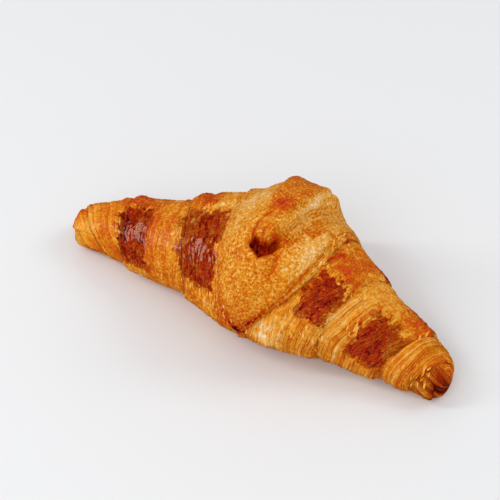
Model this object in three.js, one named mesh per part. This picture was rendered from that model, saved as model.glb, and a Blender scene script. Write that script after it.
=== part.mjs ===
// A butter croissant: a straight spindle of dough with two horns, wound from a long triangle.
// Millimetres and degrees. +X runs along the roll, +Z is up, and the front looks to -Y.
// A point of the crust is named by x and by psi, the angle round the roll from its crest,
// positive towards the front. The wound edges of the dough cross the roll as slanted lines,
// so the mesh has its rings along those lines, and each ledge is a ring of its own.
import * as THREE from "three";

// Driving sizes
const LENGTH = 156;
const HALF = LENGTH / 2;
const BELLY = { x: 2, width: 59.5, height: 50.5 };
const LEFT_HORN = { width: 14.2, height: 13.4, flare: 0.08, waist: 0.95, round: 5 };
const RIGHT_HORN = { width: 18, height: 12, flare: 1.5, waist: 2.2, round: 6 };
const BELLY_ROUNDING = 0.1; // share of a horn over which the widest place is rounded off
const BOW = 7.2; // how far the middle lies behind the two tips
const SKEW = 3.2; // how far the left tip lies behind the middle, and the right one before it
const SQUARENESS = 2.3; // of the section: 2 is an ellipse
const AXIS_LIFT = 0.46; // height of the roll's axis, as a share of the section's height
const ABOVE_AXIS = 0.54; // share of the section's height above the axis
const BELOW_AXIS = 0.5; // this share is cut by the surface that the croissant was baked on
const MM_PER_DEGREE = 0.47; // round the belly, to draw round marks there

// Relief
const RAGGED = 0.35; // how far a wound edge strays from its line
const LAYER_PITCH = 3.2;
const LAYER_RISE = 0.35;
const LAYER_EDGE = 0.22; // share of a layer that its quick rise takes
const CREASE_RUN = 0.8;
const EDGE_CLEARANCE = 1.5; // a wound edge stays this far from the end of a tip
const POLE_FADE = 2.5; // relief dies out over this length at the end of a tip
const UNDERSIDE = { from: 100, to: 150, fade: 0.8 }; // relief dies out where the dough lay on its tray

// Mesh: columns lie closer together where the crust shows most
const FINE_STEP = 5.5;
const COARSE_STEP = 9;
const FINE_FROM = -88;
const FINE_TO = 110;
const DOME_RINGS = 20;
const TIP_RINGS = 5;

// The wound edges, from the left tip to the right one: x at the crest, how far the edge leans
// towards +X in a quarter turn to the front, the share of that lean behind the crest, and how
// far and how late the tongue draws it in at the front.
const EDGES = [
  { crest: -73.4, lean: 8, back: 1, draw: 5, late: 2.5 },
  { crest: -57.8, lean: 4.5, back: 0.3, draw: 0, late: 1 },
  { crest: -31.3, lean: 7.5, back: 1, draw: 0, late: 1 },
  { crest: -13.2, lean: 8, back: 0.3, draw: 8, late: 5 },
  { crest: 26.5, lean: -3.5, back: 1, draw: -17, late: 1.8 },
  { crest: 38.9, lean: -6.5, back: 1, draw: 0, late: 1 },
  { crest: 61.2, lean: -6.5, back: 1, draw: 0, late: 1 },
  { crest: 72.6, lean: -6.8, back: 1, draw: 0, late: 1 },
];

// The wraps between those edges. A wrap's ledge faces the nearer tip and rises over its run.
// The egg wash lies smooth on the glazed stretch beside the ledge, and the cut layers show on
// the rest.
const WRAPS = [
  { kind: "left tip" },
  { kind: "wrap", ledge: "left", step: 0.8, run: 0.8, glazed: 0, crown: 0.3, crease: 0.4 },
  { kind: "wrap", ledge: "left", step: 2.6, run: 1.8, glazed: 13.5, crown: 0.6, crease: 0.4 },
  { kind: "wrap", ledge: "left", step: 1.8, run: 1.6, glazed: 17, crown: 1, crease: 0.7 },
  { kind: "dome", step: 1.2 },
  { kind: "wrap", ledge: "right", step: 1.6, run: 0.8, glazed: 10.5, crown: 1, crease: 0.8 },
  { kind: "wrap", ledge: "right", step: 1.5, run: 0.8, glazed: 10, crown: 0.8, crease: 0.5 },
  { kind: "wrap", ledge: "right", step: 1, run: 0.5, glazed: 0, crown: 0.5, crease: 0.4 },
  { kind: "right tip" },
];

// Broad swellings and hollows of the baked dough.
const SWELLINGS = [
  { x: -59.3, psi: -45, height: 2.2, reach: 5.5, turn: 45 },
  { x: -30, psi: -45, height: 1.7, reach: 9, turn: 45 },
  { x: -27.3, psi: -36, height: -1.2, reach: 1.8, turn: 25 },
  { x: -8.5, psi: -30, height: -1.2, reach: 4, turn: 25 },
  { x: 2, psi: -34, height: -2.2, reach: 8, turn: 30 },
  { x: 15.5, psi: -50, height: 1, reach: 3.5, turn: 22 },
  { x: 12.5, psi: 98, height: 1, reach: 6, turn: 20 },
  { x: 29, psi: -70, height: -0.5, reach: 5, turn: 35 },
  { x: 37, psi: -62, height: -0.6, reach: 4, turn: 40 },
  { x: 43.5, psi: -55, height: 0.9, reach: 3.5, turn: 40 },
  { x: 54.5, psi: 88, height: 1.2, reach: 5.5, turn: 25 },
  { x: 58.5, psi: -62, height: 1.3, reach: 6.5, turn: 45 },
  { x: 65.5, psi: -58, height: 1.2, reach: 4, turn: 45 },
  { x: 74.5, psi: -60, height: -0.9, reach: 2.5, turn: 45 },
];

// The last wrap over the belly: a fold runs back from a burst blister, with a valley beside it.
// Points are [x, arc length from the crest], both in mm.
const FOLD = [[4.6, 8.5], [7, 5], [9.6, 0.5], [11.2, -6.1], [12.5, -14], [14, -22]];
const VALLEY = [[10.6, 10.5], [12.5, 4.2], [14.2, 0.5], [15.4, -3.3], [17.8, -13.6], [20.7, -23.5]];
const SHOULDER = [[18.5, 13], [20.3, 5], [21.6, -1.5]];
const CREASE = [[12.3, 13.5], [12.9, 16.5], [13.4, 19.7], [11.9, 23]];
const NOSE = { x: 5.9, arc: 9.1, long: 3.3, wide: 2.9, rise: 1.5 };
const BLISTER = { x: 6.6, arc: 13.6, long: 4, wide: 2.9, turn: -20, deep: 6 };
const CAP = { left: 4.3, leftSlope: 0.55, right: 9.8, rightSlope: -0.18, front: 1.5, rise: 1.3 };

// The right tip is split. Here the arc is measured round the thin horn.
const CLEFT = [[73.6, 5.5], [74.6, 9], [75.3, 12], [75.6, 20]];
const CLEFT_MM_PER_DEGREE = 0.15;
const TIP_FLAP = { height: 1, from: -110, to: 62 };

const clamp = THREE.MathUtils.clamp;
const radians = THREE.MathUtils.degToRad;
const bell = (distance, width) => Math.exp(-((distance / width) ** 2));
const signedPower = (value, power) => Math.sign(value) * Math.abs(value) ** power;

// Goes from 0 at a to 1 at b with level ends; a may be the larger.
function smooth(a, b, value) {
  const t = clamp((value - a) / (b - a), 0, 1);
  return t * t * (3 - 2 * t);
}

// Share of the way from the belly to a tip, on the left as on the right.
function hornShare(x) {
  const run = x < BELLY.x ? HALF + BELLY.x : HALF - BELLY.x;
  return clamp(Math.abs(x - BELLY.x) / run, 0, 1);
}

// A size that shrinks from the belly's to the tip's. A small flare thins the horn early.
function taper(share, tip, belly, horn) {
  const at = (distance) => Math.hypot(distance, BELLY_ROUNDING) ** horn.flare;
  const eased = (at(share) - at(0)) / (at(1) - at(0));
  return tip + (belly - tip) * (1 - eased) ** horn.waist;
}

// A point of the smooth spindle, before any relief and before its base is flat.
function spindle(x, psi) {
  const horn = x < BELLY.x ? LEFT_HORN : RIGHT_HORN;
  const share = hornShare(x);
  const width = taper(share, horn.width, BELLY.width, horn);
  const height = taper(share, horn.height, BELLY.height, horn);
  const inset = clamp(1 - (HALF - Math.abs(x)) / horn.round, 0, 1);
  const closing = Math.sqrt(1 - inset ** 2.5);
  const across = signedPower(-Math.sin(radians(psi)), 2 / SQUARENESS);
  const up = signedPower(Math.cos(radians(psi)), 2 / SQUARENESS);
  const reach = up > 0 ? ABOVE_AXIS : BELOW_AXIS;
  const y = BOW * (0.5 - share ** 2) - (SKEW * x) / HALF + (width / 2) * closing * across;
  const z = height * (AXIS_LIFT + reach * closing * up);
  return new THREE.Vector3(x, y, z);
}

function outwardNormal(x, psi) {
  const along = spindle(x + 0.05, psi).sub(spindle(x - 0.05, psi));
  const round = spindle(x, psi + 0.3).sub(spindle(x, psi - 0.3));
  return round.cross(along).normalize();
}

// Where a wound edge crosses the line at psi.
function edgeX(edge, psi) {
  const turn = radians(psi);
  let winding = (Math.sin(turn) * (1 + 0.35 * (1 - Math.cos(turn)))) / 1.35;
  if (winding < 0) winding *= edge.back;
  const drawn = clamp((psi - 20) / 85, 0, 1) ** edge.late * (1 - smooth(125, 180, psi));
  const stray = Math.sin(5 * turn + edge.crest) + 0.7 * Math.sin(11 * turn + 2.3 * edge.crest);
  const x = edge.crest + edge.lean * winding + edge.draw * drawn + RAGGED * stray;
  return clamp(x, EDGE_CLEARANCE - HALF, HALF - EDGE_CLEARANCE);
}

function wrapEnds(index, psi) {
  const low = index === 0 ? -HALF : edgeX(EDGES[index - 1], psi);
  const high = index === WRAPS.length - 1 ? HALF : edgeX(EDGES[index], psi);
  return { low, high };
}

// Distance from a drawn line, and the share of its length at the nearest place.
function strokeAt(points, x, arc) {
  const place = new THREE.Vector2(x, arc);
  const corners = points.map(([px, parc]) => new THREE.Vector2(px, parc));
  const lengths = corners.slice(1).map((corner, i) => corner.distanceTo(corners[i]));
  const total = lengths.reduce((sum, length) => sum + length, 0);
  let best = { distance: Infinity, share: 0 };
  let passed = 0;
  lengths.forEach((length, i) => {
    const direction = corners[i + 1].clone().sub(corners[i]);
    const t = clamp(place.clone().sub(corners[i]).dot(direction) / length ** 2, 0, 1);
    const distance = place.distanceTo(corners[i].clone().addScaledVector(direction, t));
    if (distance < best.distance) best = { distance, share: (passed + t * length) / total };
    passed += length;
  });
  return best;
}

function blisterDistance(x, arc) {
  const turn = radians(BLISTER.turn);
  const dx = x - BLISTER.x;
  const da = arc - BLISTER.arc;
  const along = dx * Math.cos(turn) + da * Math.sin(turn);
  const across = da * Math.cos(turn) - dx * Math.sin(turn);
  return Math.hypot(along / BLISTER.long, across / BLISTER.wide);
}

// 1 inside the browned cap behind the blister, 0 outside it.
function capShare(x, arc) {
  const left = CAP.left + CAP.leftSlope * arc - x;
  const right = x - CAP.right - CAP.rightSlope * arc;
  return smooth(0.8, -0.8, Math.max(left, right, arc - CAP.front));
}

function domeRelief(x, psi) {
  const arc = psi * MM_PER_DEGREE;
  const fold = strokeAt(FOLD, x, arc);
  const valley = strokeAt(VALLEY, x, arc);
  const shoulder = strokeAt(SHOULDER, x, arc);
  const crease = strokeAt(CREASE, x, arc);
  const nose = Math.hypot((x - NOSE.x) / NOSE.long, (arc - NOSE.arc) / NOSE.wide);
  let height = 2 * bell(fold.distance, 4.6) * smooth(0, 0.1, fold.share);
  height += NOSE.rise * smooth(1.4, 0.4, nose);
  height -= (3.2 - 1.2 * valley.share) * bell(valley.distance, 2.9 + 0.8 * valley.share);
  height += 0.9 * bell(shoulder.distance, 3.5);
  height -= 0.55 * bell(crease.distance, 1.2) * Math.sin(Math.PI * clamp(crease.share, 0.05, 0.95));
  height += CAP.rise * capShare(x, arc) * smooth(2, -4, arc);
  return height - BLISTER.deep * smooth(1.15, 0.45, blisterDistance(x, arc));
}

function leftTipRelief(psi) {
  const inFlap = smooth(TIP_FLAP.to, TIP_FLAP.to - 7, psi) * smooth(TIP_FLAP.from, TIP_FLAP.from + 30, psi);
  return TIP_FLAP.height * inFlap;
}

function rightTipRelief(x, psi) {
  const cleft = strokeAt(CLEFT, x, psi * CLEFT_MM_PER_DEGREE);
  return -(0.6 + 4.4 * cleft.share) * bell(cleft.distance, 0.35 + 1.1 * cleft.share);
}

// One thin layer for each unit of t: a quick rise at its edge, then a slope back down.
function layerHeight(t) {
  const within = t - Math.floor(t);
  return smooth(0, LAYER_EDGE, within) * (1 - within) ** 0.8;
}

function layerCount(index) {
  const { low, high } = wrapEnds(index, 0);
  return Math.max(1, Math.round((high - low) / LAYER_PITCH));
}

function wrapRelief(index, x, psi) {
  const wrap = WRAPS[index];
  const { low, high } = wrapEnds(index, psi);
  const width = Math.max(high - low, 0.5);
  const inward = wrap.ledge === "left" ? x - low : high - x;
  const share = clamp(inward / width, 0, 1);
  const smoothed = wrap.glazed ? smooth(wrap.glazed + 1.5, wrap.glazed - 1.5, inward) : 0;
  let height = wrap.step * (1 - bell(inward, wrap.run)) * (1 - 0.85 * share);
  height += wrap.crown * Math.sin(Math.PI * share);
  height -= wrap.crease * bell(width - inward, CREASE_RUN);
  return height + LAYER_RISE * (1 - 0.7 * smoothed) * layerHeight(share * layerCount(index));
}

// How far the crust stands out from the spindle.
function reliefHeight(index, x, psi) {
  const wrap = WRAPS[index];
  const shown = 1 - UNDERSIDE.fade * smooth(UNDERSIDE.from, UNDERSIDE.to, Math.abs(psi));
  let height = 0;
  for (const swelling of SWELLINGS) {
    const near = bell(x - swelling.x, swelling.reach) * bell(psi - swelling.psi, swelling.turn);
    height += swelling.height * near;
  }
  if (wrap.kind === "left tip") return height + leftTipRelief(psi);
  if (wrap.kind === "right tip") return height + rightTipRelief(x, psi);
  if (wrap.kind === "wrap") return height + shown * wrapRelief(index, x, psi);
  const { low, high } = wrapEnds(index, psi);
  const rim = 1 - bell(Math.min(x - low, high - x), 0.7);
  return height + shown * wrap.step * rim + domeRelief(x, psi);
}

// A finished point: out along the normal, and never below the tray.
function crustPoint(index, share, psi) {
  const { low, high } = wrapEnds(index, psi);
  const x = low + share * (high - low);
  const height = reliefHeight(index, x, psi) * smooth(0, POLE_FADE, HALF - Math.abs(x));
  const point = spindle(x, psi).addScaledVector(outwardNormal(x, psi), height);
  point.z = Math.max(point.z, 0);
  return point;
}

// Shares of a wrap's width at which it has rings, in order of x.
function ringShares(index) {
  const wrap = WRAPS[index];
  if (wrap.kind === "left tip") {
    return Array.from({ length: TIP_RINGS }, (_, i) => ((i + 1) / (TIP_RINGS + 1)) ** 2);
  }
  if (wrap.kind === "right tip") {
    return Array.from({ length: TIP_RINGS + 1 }, (_, i) => 1 - (1 - i / (TIP_RINGS + 1)) ** 2);
  }
  if (wrap.kind === "dome") return Array.from({ length: DOME_RINGS }, (_, i) => i / DOME_RINGS);
  const count = layerCount(index);
  const shares = [];
  for (let layer = 0; layer < count; layer += 1) {
    shares.push(layer / count, (layer + LAYER_EDGE) / count);
  }
  if (wrap.ledge === "left") return shares;
  return [0, ...shares.slice(1).map((share) => 1 - share).reverse()];
}

// Angles of the columns, once round the roll.
function columnAngles() {
  const angles = [];
  for (let psi = FINE_FROM; psi < FINE_TO; psi += FINE_STEP) angles.push(psi);
  for (let psi = FINE_TO; psi < FINE_FROM + 360; psi += COARSE_STEP) {
    angles.push(psi > 180 ? psi - 360 : psi);
  }
  return angles;
}

function crustGeometry() {
  const angles = columnAngles();
  const points = [];
  WRAPS.forEach((_, index) => {
    for (const share of ringShares(index)) {
      for (const psi of angles) points.push(crustPoint(index, share, psi));
    }
  });
  const columns = angles.length;
  const rings = points.length / columns;
  const leftPole = points.push(spindle(-HALF, 0)) - 1;
  const rightPole = points.push(spindle(HALF, 0)) - 1;

  const triangles = [];
  for (let column = 0; column < columns; column += 1) {
    const next = (column + 1) % columns;
    triangles.push(leftPole, next, column);
    for (let ring = 0; ring < rings - 1; ring += 1) {
      const here = ring * columns;
      const beyond = here + columns;
      triangles.push(here + column, here + next, beyond + next);
      triangles.push(here + column, beyond + next, beyond + column);
    }
    const last = (rings - 1) * columns;
    triangles.push(rightPole, last + column, last + next);
  }

  const geometry = new THREE.BufferGeometry().setFromPoints(points);
  geometry.setIndex(triangles);
  return geometry;
}

// The origin is under the middle of the croissant, on the surface that it lies on.
function centreOnBase(geometry) {
  geometry.computeBoundingBox();
  const middle = geometry.boundingBox.getCenter(new THREE.Vector3());
  geometry.translate(-middle.x, -middle.y, -geometry.boundingBox.min.z);
  geometry.computeVertexNormals();
  return geometry;
}

const crust = new THREE.MeshStandardMaterial({ color: 0xc9822f, roughness: 0.55, metalness: 0 });
const croissant = new THREE.Mesh(centreOnBase(crustGeometry()), crust);
croissant.name = "croissant";

const part = new THREE.Group();
part.add(croissant);

export default part;
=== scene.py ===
# %% [markdown]
# # A butter croissant
# A croissant is one roll. A long triangle of laminated dough is wound from its wide end, so each
# turn is a little shorter than the one below it and its cut edge stays in sight as a ledge.
# This lesson makes that roll in four steps: a spindle with two horns, the wound ledges and the
# folds of the last wrap, the fine relief of the layers, and last the loose flakes and the crust.
# The first cell loads the solid that the croissant has to match, and notes the box it fills.

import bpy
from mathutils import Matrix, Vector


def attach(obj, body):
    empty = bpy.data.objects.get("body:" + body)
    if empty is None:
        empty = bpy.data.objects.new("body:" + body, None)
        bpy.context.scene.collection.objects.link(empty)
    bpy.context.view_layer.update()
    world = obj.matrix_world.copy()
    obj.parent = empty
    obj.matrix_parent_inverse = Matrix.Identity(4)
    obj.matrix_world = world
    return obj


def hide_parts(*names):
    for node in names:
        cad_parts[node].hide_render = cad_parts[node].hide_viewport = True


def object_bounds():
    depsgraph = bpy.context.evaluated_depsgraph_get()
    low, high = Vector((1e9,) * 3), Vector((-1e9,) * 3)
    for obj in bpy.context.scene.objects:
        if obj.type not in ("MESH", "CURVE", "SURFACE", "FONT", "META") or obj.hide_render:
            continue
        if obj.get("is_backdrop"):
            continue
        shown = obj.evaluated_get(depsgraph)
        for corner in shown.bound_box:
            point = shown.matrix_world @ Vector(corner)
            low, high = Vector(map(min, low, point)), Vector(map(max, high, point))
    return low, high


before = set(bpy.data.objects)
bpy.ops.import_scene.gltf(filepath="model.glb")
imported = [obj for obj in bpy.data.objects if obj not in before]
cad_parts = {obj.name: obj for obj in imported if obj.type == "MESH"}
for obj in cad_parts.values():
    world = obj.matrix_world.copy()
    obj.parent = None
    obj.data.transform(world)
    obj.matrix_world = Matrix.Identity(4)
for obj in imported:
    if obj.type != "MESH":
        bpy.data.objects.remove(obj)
cad_low, cad_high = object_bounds()
print("box of the solid in metres:", tuple(cad_low), tuple(cad_high))

# %% What the lesson uses
import math

import bpy
import numpy as np
from mathutils import Vector

MM = 0.001
SEED = 7


def placed(name, data):
    """A new object in the scene."""
    made = bpy.data.objects.new(name, data)
    bpy.context.scene.collection.objects.link(made)
    return made


# %% [markdown]
# ## Node trees as expressions
# Both the shapes and the crust are sums of many small terms. So a socket is wrapped in a class
# whose operators add Math nodes, and `a * 2 + b` reads as it is meant. Every other node comes
# from one method, which takes the node's type, its settings and what goes into its sockets.

# %% A socket that does arithmetic
def operator(operation, turned=False):
    """A method for one of Python's operators; turned puts the other value first."""
    def method(self, other):
        return self.graph.math(operation, *((other, self) if turned else (self, other)))

    return method


class Wire:
    """A node's output. Python's operators on it add Math nodes to its tree."""

    __add__, __radd__ = operator("ADD"), operator("ADD", turned=True)
    __sub__, __rsub__ = operator("SUBTRACT"), operator("SUBTRACT", turned=True)
    __mul__, __rmul__ = operator("MULTIPLY"), operator("MULTIPLY", turned=True)
    __truediv__, __pow__ = operator("DIVIDE"), operator("POWER")

    def __init__(self, graph, socket):
        self.graph, self.socket = graph, socket

    def math(self, operation, *others):
        return self.graph.math(operation, self, *others)

    def output(self, key):
        """Another output of the same node."""
        return Wire(self.graph, Graph.socket_of(self.socket.node.outputs, key))

    def __neg__(self):
        return self.math("MULTIPLY", -1.0)

    def smooth(self, low, high):
        """0 below low, 1 above high, with level ends."""
        settings = {"interpolation_type": "SMOOTHSTEP"}
        links = {"Value": self, "From Min": low, "From Max": high}
        return self.graph.node("ShaderNodeMapRange", settings, links)


class Graph:
    """A node tree that is filled by expressions."""

    def __init__(self, tree):
        self.tree = tree

    def node(self, kind, settings=None, links=None, output=0):
        made = self.tree.nodes.new(kind)
        settings = dict(settings or {})
        stops = settings.pop("stops", None)
        for name, value in settings.items():
            setattr(made, name, value)
        if stops:
            ramp = made.color_ramp.elements
            while len(ramp) < len(stops):
                ramp.new(0.5)
            for element, (position, colour) in zip(ramp, stops):
                element.position = position
                element.color = (*colour, 1.0)
        for name, value in (links or {}).items():
            socket = self.socket_of(made.inputs, name)
            if isinstance(value, Wire):
                self.tree.links.new(value.socket, socket)
            else:
                socket.default_value = value
        return Wire(self, self.socket_of(made.outputs, output)) if made.outputs else None

    @staticmethod
    def socket_of(sockets, key):
        """A socket by its number, its identifier or its name."""
        if isinstance(key, int):
            return sockets[key]
        return next((s for s in sockets if s.identifier == key), None) or sockets[key]

    def math(self, operation, *values):
        return self.node("ShaderNodeMath", {"operation": operation}, dict(enumerate(values)))

    def vector(self, x, y, z):
        return self.node("ShaderNodeCombineXYZ", links={"X": x, "Y": y, "Z": z})

    def parts(self, vector):
        split = self.node("ShaderNodeSeparateXYZ", links={"Vector": vector})
        return split, split.output("Y"), split.output("Z")


# %% [markdown]
# ## The driving sizes
# A place on the crust has two names: `x` along the roll, in millimetres, and `psi`, the angle
# round the roll from its crest, positive towards the front. Everything below is drawn on those
# two, because the dough was wound: its ledges are lines that drift along x as psi goes round.
# The length comes from the solid, and the other sizes are the solid's own.

# %% Spindle, horns and wound edges
LENGTH = (cad_high.x - cad_low.x) / MM
HALF = LENGTH / 2
BELLY_X, BELLY_WIDTH, BELLY_HEIGHT = 2.0, 59.5, 50.5
LEFT_HORN = {"width": 14.2, "height": 13.4, "flare": 0.08, "waist": 0.95, "round": 5.0}
RIGHT_HORN = {"width": 18.0, "height": 12.0, "flare": 1.5, "waist": 2.2, "round": 6.0}
BELLY_ROUNDING = 0.1
BOW, SKEW, CENTRED_BY = 7.2, 3.2, -4.04
SQUARENESS = 2.3
AXIS_LIFT, ABOVE_AXIS, BELOW_AXIS = 0.46, 0.54, 0.5
MM_PER_DEGREE = 0.47

# Each wound edge: x at the crest, lean in a quarter turn to the front, the share of that lean
# on the back, how far and how late the tongue draws it in, and how far it strays and is frayed
EDGE_SIZES = ("crest", "lean", "back", "draw", "late", "ragged", "frayed")
EDGES = [dict(zip(EDGE_SIZES, row)) for row in (
    (-73.4, 8.0, 1.0, 5.0, 2.5, 0.12, 0.10),
    (-57.8, 4.5, 0.3, 0.0, 1.0, 0.35, 0.28),
    (-31.3, 7.5, 1.0, 0.0, 1.0, 0.35, 0.28),
    (-13.2, 8.0, 0.3, 8.0, 5.0, 0.25, 0.22),
    (26.5, -3.5, 1.0, -17.0, 1.8, 0.10, 0.12),
    (38.9, -6.5, 1.0, 0.0, 1.0, 0.12, 0.18),
    (61.2, -6.5, 1.0, 0.0, 1.0, 0.15, 0.20),
    (72.6, -6.8, 1.0, 0.0, 1.0, 0.2, 0.2),
)]
LEFT_TIP, LEFT_LAYERS, BAND_A, BAND_B, DOME, BAND_C, BAND_D, RIGHT_LAYERS, RIGHT_TIP = range(9)

# Each wrap: the side its ledge is on, the ledge's height and width, how far it is glazed, and
# its crown and its crease
WRAP_SIZES = ("side", "step", "run", "glazed", "crown", "crease")
WRAPS = {wrap: dict(zip(WRAP_SIZES, row)) for wrap, *row in (
    (LEFT_LAYERS, -1, 0.7, 0.8, 0.0, 0.3, 0.2),
    (BAND_A, -1, 2.5, 1.8, 13.5, 0.6, 0.4),
    (BAND_B, -1, 1.8, 1.6, 17.0, 1.0, 0.7),
    (BAND_C, 1, 1.5, 1.5, 10.5, 1.0, 0.5),
    (BAND_D, 1, 1.5, 1.5, 10.0, 0.8, 0.2),
    (RIGHT_LAYERS, 1, 1.0, 1.5, 0.0, 0.5, 0.2),
)}
print(f"{LENGTH:.1f} mm long, with {len(EDGES)} wound edges")

# %% [markdown]
# ## A grid that follows the wound edges
# A plain grid would cut across the ledges and turn them into saw teeth. Here each ring of points
# runs along a wound edge or between two of them, so a ledge is as crisp as its points are close.
# The columns stand closer together on the side that shows.

# %% Helpers for drawing on x and psi
def smooth(low, high, value):
    """0 below low, 1 above high, with level ends; low may be the larger."""
    t = np.clip((value - low) / (high - low), 0, 1)
    return t * t * (3 - 2 * t)


def bell(distance, width):
    """1 on a line, falling to 0 within about two widths of it."""
    return np.exp(-((distance / width) ** 2))


FRAY_STEP = 4  # degrees
EDGE_CLEARANCE = 1.5
LEAN_SHARPNESS = 0.35
TONGUE_FROM, TONGUE_SPAN, TONGUE_OVER, TONGUE_GONE = 20, 85, 125, 180
rng = np.random.default_rng(SEED)
FRAY = [rng.normal(size=360 // FRAY_STEP) for _ in EDGES]


def smooth_edge(index, psi):
    """Where a wound edge crosses psi: its slant and the pull of the tongue."""
    edge = EDGES[index]
    turn = np.radians(psi)
    winding = np.sin(turn) * (1 + LEAN_SHARPNESS * (1 - np.cos(turn))) / (1 + LEAN_SHARPNESS)
    winding = np.where(winding < 0, edge["back"] * winding, winding)
    drawn = np.clip((psi - TONGUE_FROM) / TONGUE_SPAN, 0, 1) ** edge["late"]
    drawn *= 1 - smooth(TONGUE_OVER, TONGUE_GONE, psi)
    return edge["crest"] + edge["lean"] * winding + edge["draw"] * drawn


def edge_x(index, psi):
    """The same edge as it was torn and baked: it strays, and it is frayed."""
    edge, turn = EDGES[index], np.radians(psi)
    stray = np.sin(5 * turn + edge["crest"]) + 0.7 * np.sin(11 * turn + 2.3 * edge["crest"])
    degrees = np.arange(0, 360 + FRAY_STEP, FRAY_STEP)
    fray = np.interp(psi % 360, degrees, np.append(FRAY[index], FRAY[index][0]))
    x = smooth_edge(index, psi) + edge["ragged"] * stray + edge["frayed"] * fray
    return np.clip(x, EDGE_CLEARANCE - HALF, HALF - EDGE_CLEARANCE)


def wrap_ends(wrap, psi, edge=edge_x):
    """The x at which a wrap starts and ends, all round it."""
    low = np.full_like(psi, -HALF) if wrap == LEFT_TIP else edge(wrap - 1, psi)
    high = np.full_like(psi, HALF) if wrap == RIGHT_TIP else edge(wrap, psi)
    return low, high


# %% Rings and columns
RING_PITCH = 0.34
CROWDING = 1.25
SHOWN_FROM, SHOWN_TO, SHOWN_STEP, HIDDEN_STEP = -112.0, 122.0, 1.35, 6.0


def column_angles():
    shown = np.arange(SHOWN_FROM, SHOWN_TO, SHOWN_STEP)
    hidden = np.arange(SHOWN_TO, SHOWN_FROM + 360, HIDDEN_STEP)
    return (np.concatenate([shown, hidden]) + 180) % 360 - 180


def ring_shares(wrap):
    """Where the rings of a wrap lie, as shares of its width; they crowd at ledges and at tips."""
    low, high = wrap_ends(wrap, np.zeros(1))
    count = int(round((high[0] - low[0]) / RING_PITCH))
    even = np.arange(count) / count
    if wrap == LEFT_TIP:
        return (np.arange(1, 2 * count) / (2 * count)) ** 2
    if wrap == RIGHT_TIP:
        return 1 - (1 - np.arange(2 * count) / (2 * count)) ** 2
    if wrap == DOME:
        return even
    return even**CROWDING if WRAPS[wrap]["side"] < 0 else 1 - (1 - even) ** CROWDING


psi_row = column_angles()[None, :]
xs, wraps = [], []
for wrap in range(9):
    low, high = wrap_ends(wrap, psi_row)
    for share in ring_shares(wrap):
        xs.append(low + share * (high - low))
        wraps.append(wrap)
x = np.concatenate(xs)
psi = np.broadcast_to(psi_row, x.shape)
wrap_of = np.array(wraps)
rings, columns = x.shape
print(rings, "rings of", columns, "points,", 2 * rings * columns, "triangles")

# %% [markdown]
# ## Relief of the wound dough
# The height of the crust over the spindle is worked out in numbers first, because much of it is
# particular: the last wrap has a burst blister with a fold behind it, and a cap that browned.
# A stroke is a short line of points, and a place's distance from it shapes a ridge or a valley.

# %% Strokes and patches
def girth(x):
    """The local size of the roll, as a share of the belly's, to turn degrees into millimetres."""
    reach = np.where(x < BELLY_X, HALF + BELLY_X, HALF - BELLY_X)
    share = np.clip(np.abs(x - BELLY_X) / reach, 0, 1)
    sizes = []
    for horn in (LEFT_HORN, RIGHT_HORN):
        there, near, far = (np.hypot(d, BELLY_ROUNDING) ** horn["flare"] for d in (share, 0, 1))
        eased = (there - near) / (far - near)
        sizes.append(horn["width"] + (BELLY_WIDTH - horn["width"]) * (1 - eased) ** horn["waist"])
    return np.where(x < BELLY_X, sizes[0], sizes[1]) / BELLY_WIDTH


def stroke(points, x, arc):
    """Distance from a line of (x, arc) points, and the share of its length at the nearest one."""
    points = np.array(points, float)
    lengths = np.hypot(*np.diff(points, axis=0).T)
    best = np.full(x.shape, np.inf)
    along = np.zeros(x.shape)
    passed = 0.0
    for a, b, length in zip(points[:-1], points[1:], lengths):
        to_x, to_arc, step = x - a[0], arc - a[1], b - a
        t = np.clip((to_x * step[0] + to_arc * step[1]) / length**2, 0, 1)
        distance = np.hypot(to_x - t * step[0], to_arc - t * step[1])
        along = np.where(distance < best, (passed + t * length) / lengths.sum(), along)
        best = np.minimum(best, distance)
        passed += length
    return best, along


def patches(rows):
    """One map for each row (x, psi, half x, half psi, amount): an oval that falls to 0 outside."""
    return [
        amount * np.exp(-(((x - at_x) / half_x) ** 2 + ((psi - at_psi) / half_psi) ** 2))
        for at_x, at_psi, half_x, half_psi, amount in rows
    ]


arc = psi * MM_PER_DEGREE
FOLD = [(4.6, 8.5), (7.0, 5.0), (9.6, 0.5), (11.2, -6.1), (12.5, -14.0), (14.0, -22.0)]
VALLEY = [
    (10.6, 10.5), (12.5, 4.2), (14.2, 0.5), (15.4, -3.3), (16.6, -8.0), (17.8, -13.6), (20.7, -23.5)
]
SHOULDER = [(18.5, 13.0), (20.3, 5.0), (21.6, -1.5)]
CREASE = [(12.3, 13.5), (12.9, 16.5), (13.4, 19.7), (11.9, 23.0)]
CRACK = [(2.7, 12.2), (2.2, 9.9), (2.2, 7.0), (3.1, 4.7), (4.2, 2.6)]
DOTTED_SEAM = [(18.6, 0.2), (19.8, -2.5), (20.7, -5.6), (22.8, -5.6), (24.4, -6.6)]
SECOND_EDGE = [
    (24.4, -4.0), (23.8, 3.8), (22.0, 13.6), (19.6, 24.0), (16.0, 32.0), (10.9, 40.4), (5.8, 44.6)
]
HOLE = [(2.5, 15.6), (7.2, 18.1), (11.2, 14.0), (12.3, 10.0), (11.0, 8.0), (2.8, 11.6)]
HOLE_DEEP = 6.0
NOSE = {"x": 5.9, "arc": 9.1, "half_x": 3.3, "half_arc": 2.9, "high": 1.7}
CAP_CORNERS = [
    (0.6, -3.5), (3.6, 1.2), (6.0, 2.6), (9.0, 1.6),
    (11.2, -8.5), (12.2, -18.0), (13.0, -26.0), (-2.5, -26.0),
]
CLEFT = [(73.6, 6.0), (75.2, 8.7), (76.1, 11.5), (76.4, 20.0)]
CLEFT_MM_PER_DEGREE = 0.15
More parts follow.
